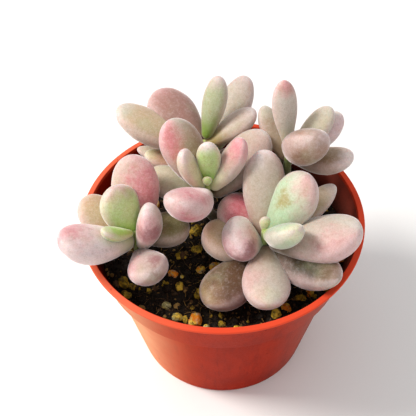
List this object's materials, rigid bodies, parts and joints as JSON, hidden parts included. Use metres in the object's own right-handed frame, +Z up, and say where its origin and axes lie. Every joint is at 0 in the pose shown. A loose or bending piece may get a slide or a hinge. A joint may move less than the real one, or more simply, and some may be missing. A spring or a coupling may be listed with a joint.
{
  "type": "potted graptopetalum",
  "caption": "Thick-leaved succulent rosettes on short stems in gritty soil, in a round tapered plastic flower pot with a deep collar.",
  "frame": {"origin": "centre of the pot's base, on the surface that the pot stands on", "axes": "+Z up along the pot's axis, -Y towards the side that the picture shows, +X to that viewer's right"},
  "size_m": [0.1228, 0.12, 0.1264],
  "materials": {
    "pot_plastic": "satin",
    "soil_mix": "matte",
    "leaf_lilac": "matte",
    "leaf_cream": "matte",
    "grit_amber": "matte",
    "grit_ochre": "matte",
    "grit_pale": "matte"
  },
  "bodies": {
    "root": {"pot": "pot_plastic", "soil": "soil_mix", "plant_front_left": "leaf_lilac", "plant_front_right": "leaf_lilac", "plant_centre": "leaf_cream", "plant_back_left": "leaf_lilac", "plant_back_right": "leaf_cream", "grit_1": "grit_amber", "grit_2": "grit_pale", "grit_3": "grit_ochre", "grit_4": "grit_ochre", "grit_5": "grit_amber", "grit_6": "grit_ochre", "grit_7": "grit_pale", "grit_8": "grit_amber", "grit_9": "grit_ochre", "grit_10": "grit_amber", "grit_11": "grit_ochre", "grit_12": "grit_amber", "grit_13": "grit_ochre"}
  },
  "joints": []
}
